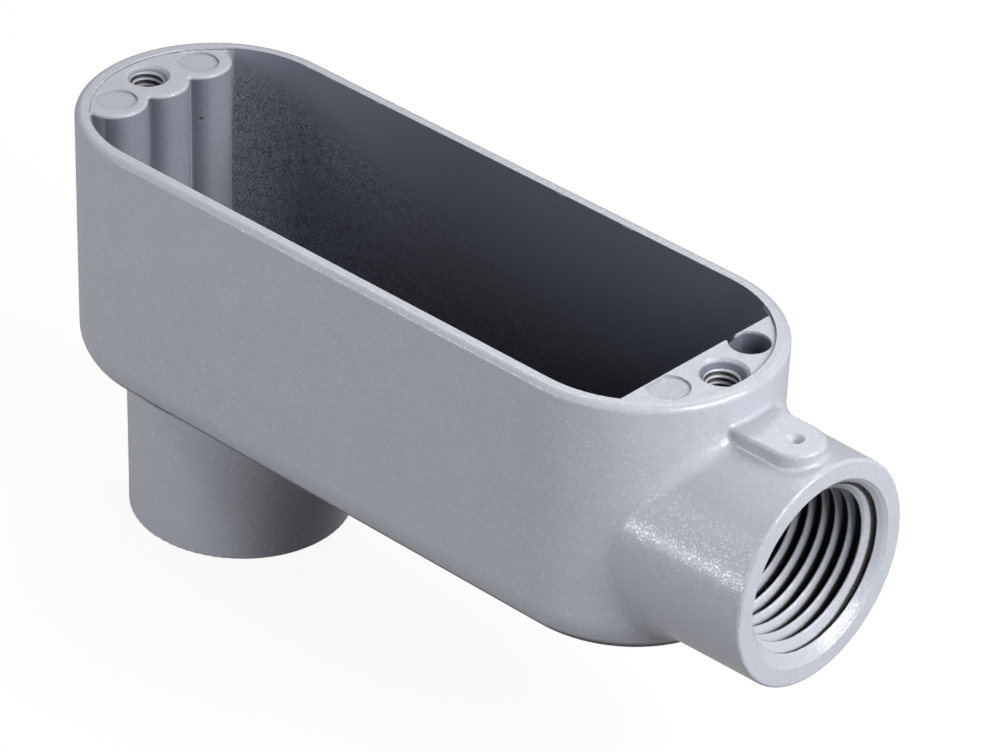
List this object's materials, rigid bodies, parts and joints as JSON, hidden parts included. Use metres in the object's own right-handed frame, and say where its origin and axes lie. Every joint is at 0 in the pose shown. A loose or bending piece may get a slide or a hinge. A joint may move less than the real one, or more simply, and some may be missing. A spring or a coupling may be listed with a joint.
{
  "type": "conduit body",
  "caption": "Cast elbow box for electrical conduit: an open trough with round ends, a threaded hub on its end and another on its back, shown without its cover.",
  "frame": {"origin": "on the axis of the back hub, where its thread starts, 1.6 mm inside the hub's face", "axes": "+Z from the back hub towards the open face that the cover closes; +X along the body, from the back hub towards the end hub; the end hub's axis is parallel to +X"},
  "size_m": [0.1093, 0.0326, 0.0516],
  "materials": {
    "conduit_body": "grey powder coat with fine metal flake over cast aluminium, satin"
  },
  "bodies": {
    "root": {"conduit_body": "conduit_body"}
  },
  "joints": []
}
